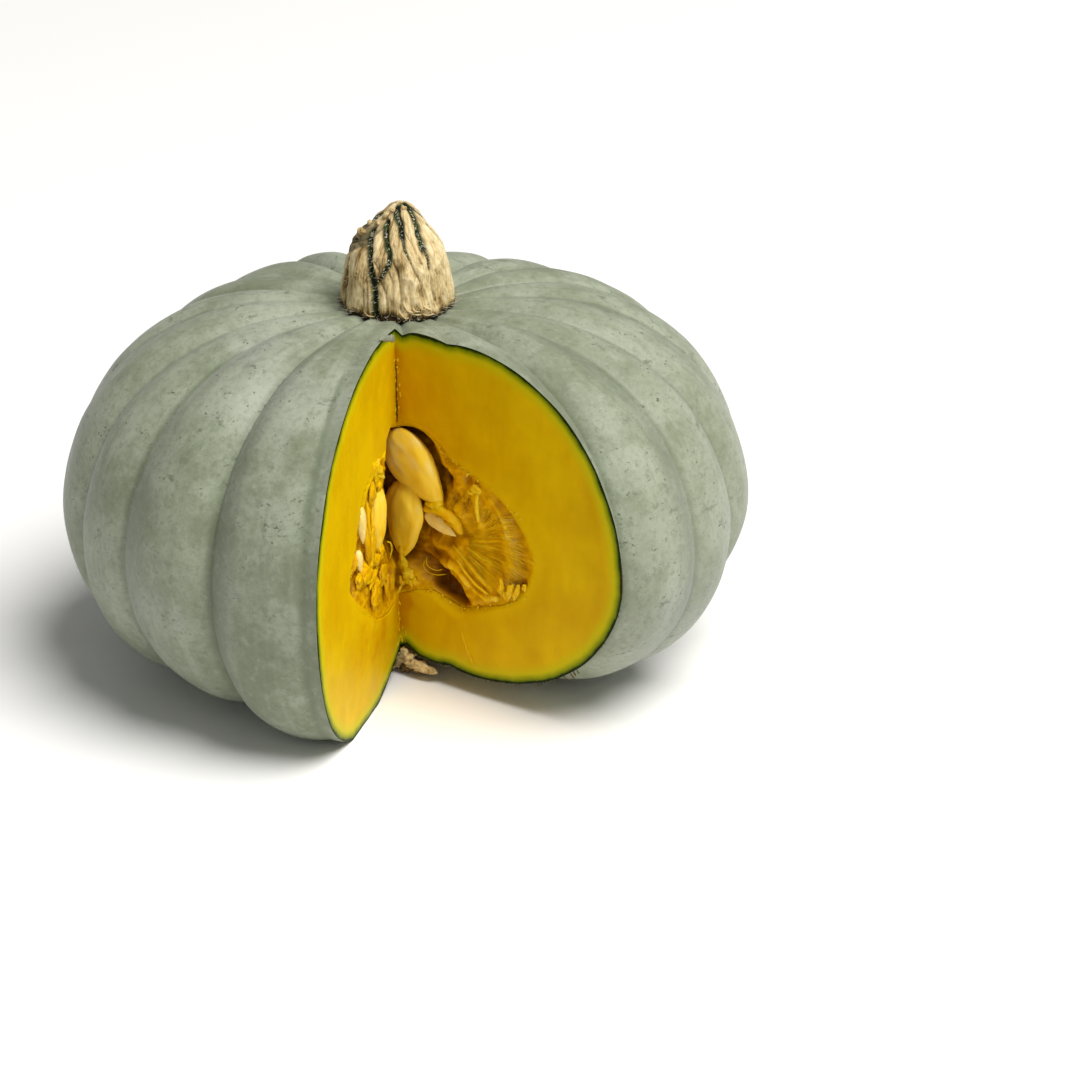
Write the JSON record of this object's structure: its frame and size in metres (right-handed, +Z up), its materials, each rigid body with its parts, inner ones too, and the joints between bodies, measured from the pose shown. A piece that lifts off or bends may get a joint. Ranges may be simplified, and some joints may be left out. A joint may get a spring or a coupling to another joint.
{
  "type": "pumpkin",
  "caption": "Flattened, ribbed grey-green pumpkin with a corky stub of stem and a wedge cut out of its front that opens the seed cavity; lies on a table as produce or a prop.",
  "frame": {"origin": "on the surface that the pumpkin rests on, under the middle of the box round it", "axes": "+Z up along the stem, -Y the front, where the wedge is cut out"},
  "size_m": [0.2532, 0.2382, 0.174],
  "materials": {
    "skin": "waxy matt grey-green rind, and golden orange flesh where it is cut",
    "pulp": "moist stringy orange pulp with cream seeds",
    "stem": "dry tan cork with dark green furrows",
    "scar": "dry tan cork"
  },
  "bodies": {
    "root": {"fruit": "skin", "pulp_with_seeds": "pulp", "stem": "stem", "blossom_scar": "scar"}
  },
  "joints": []
}
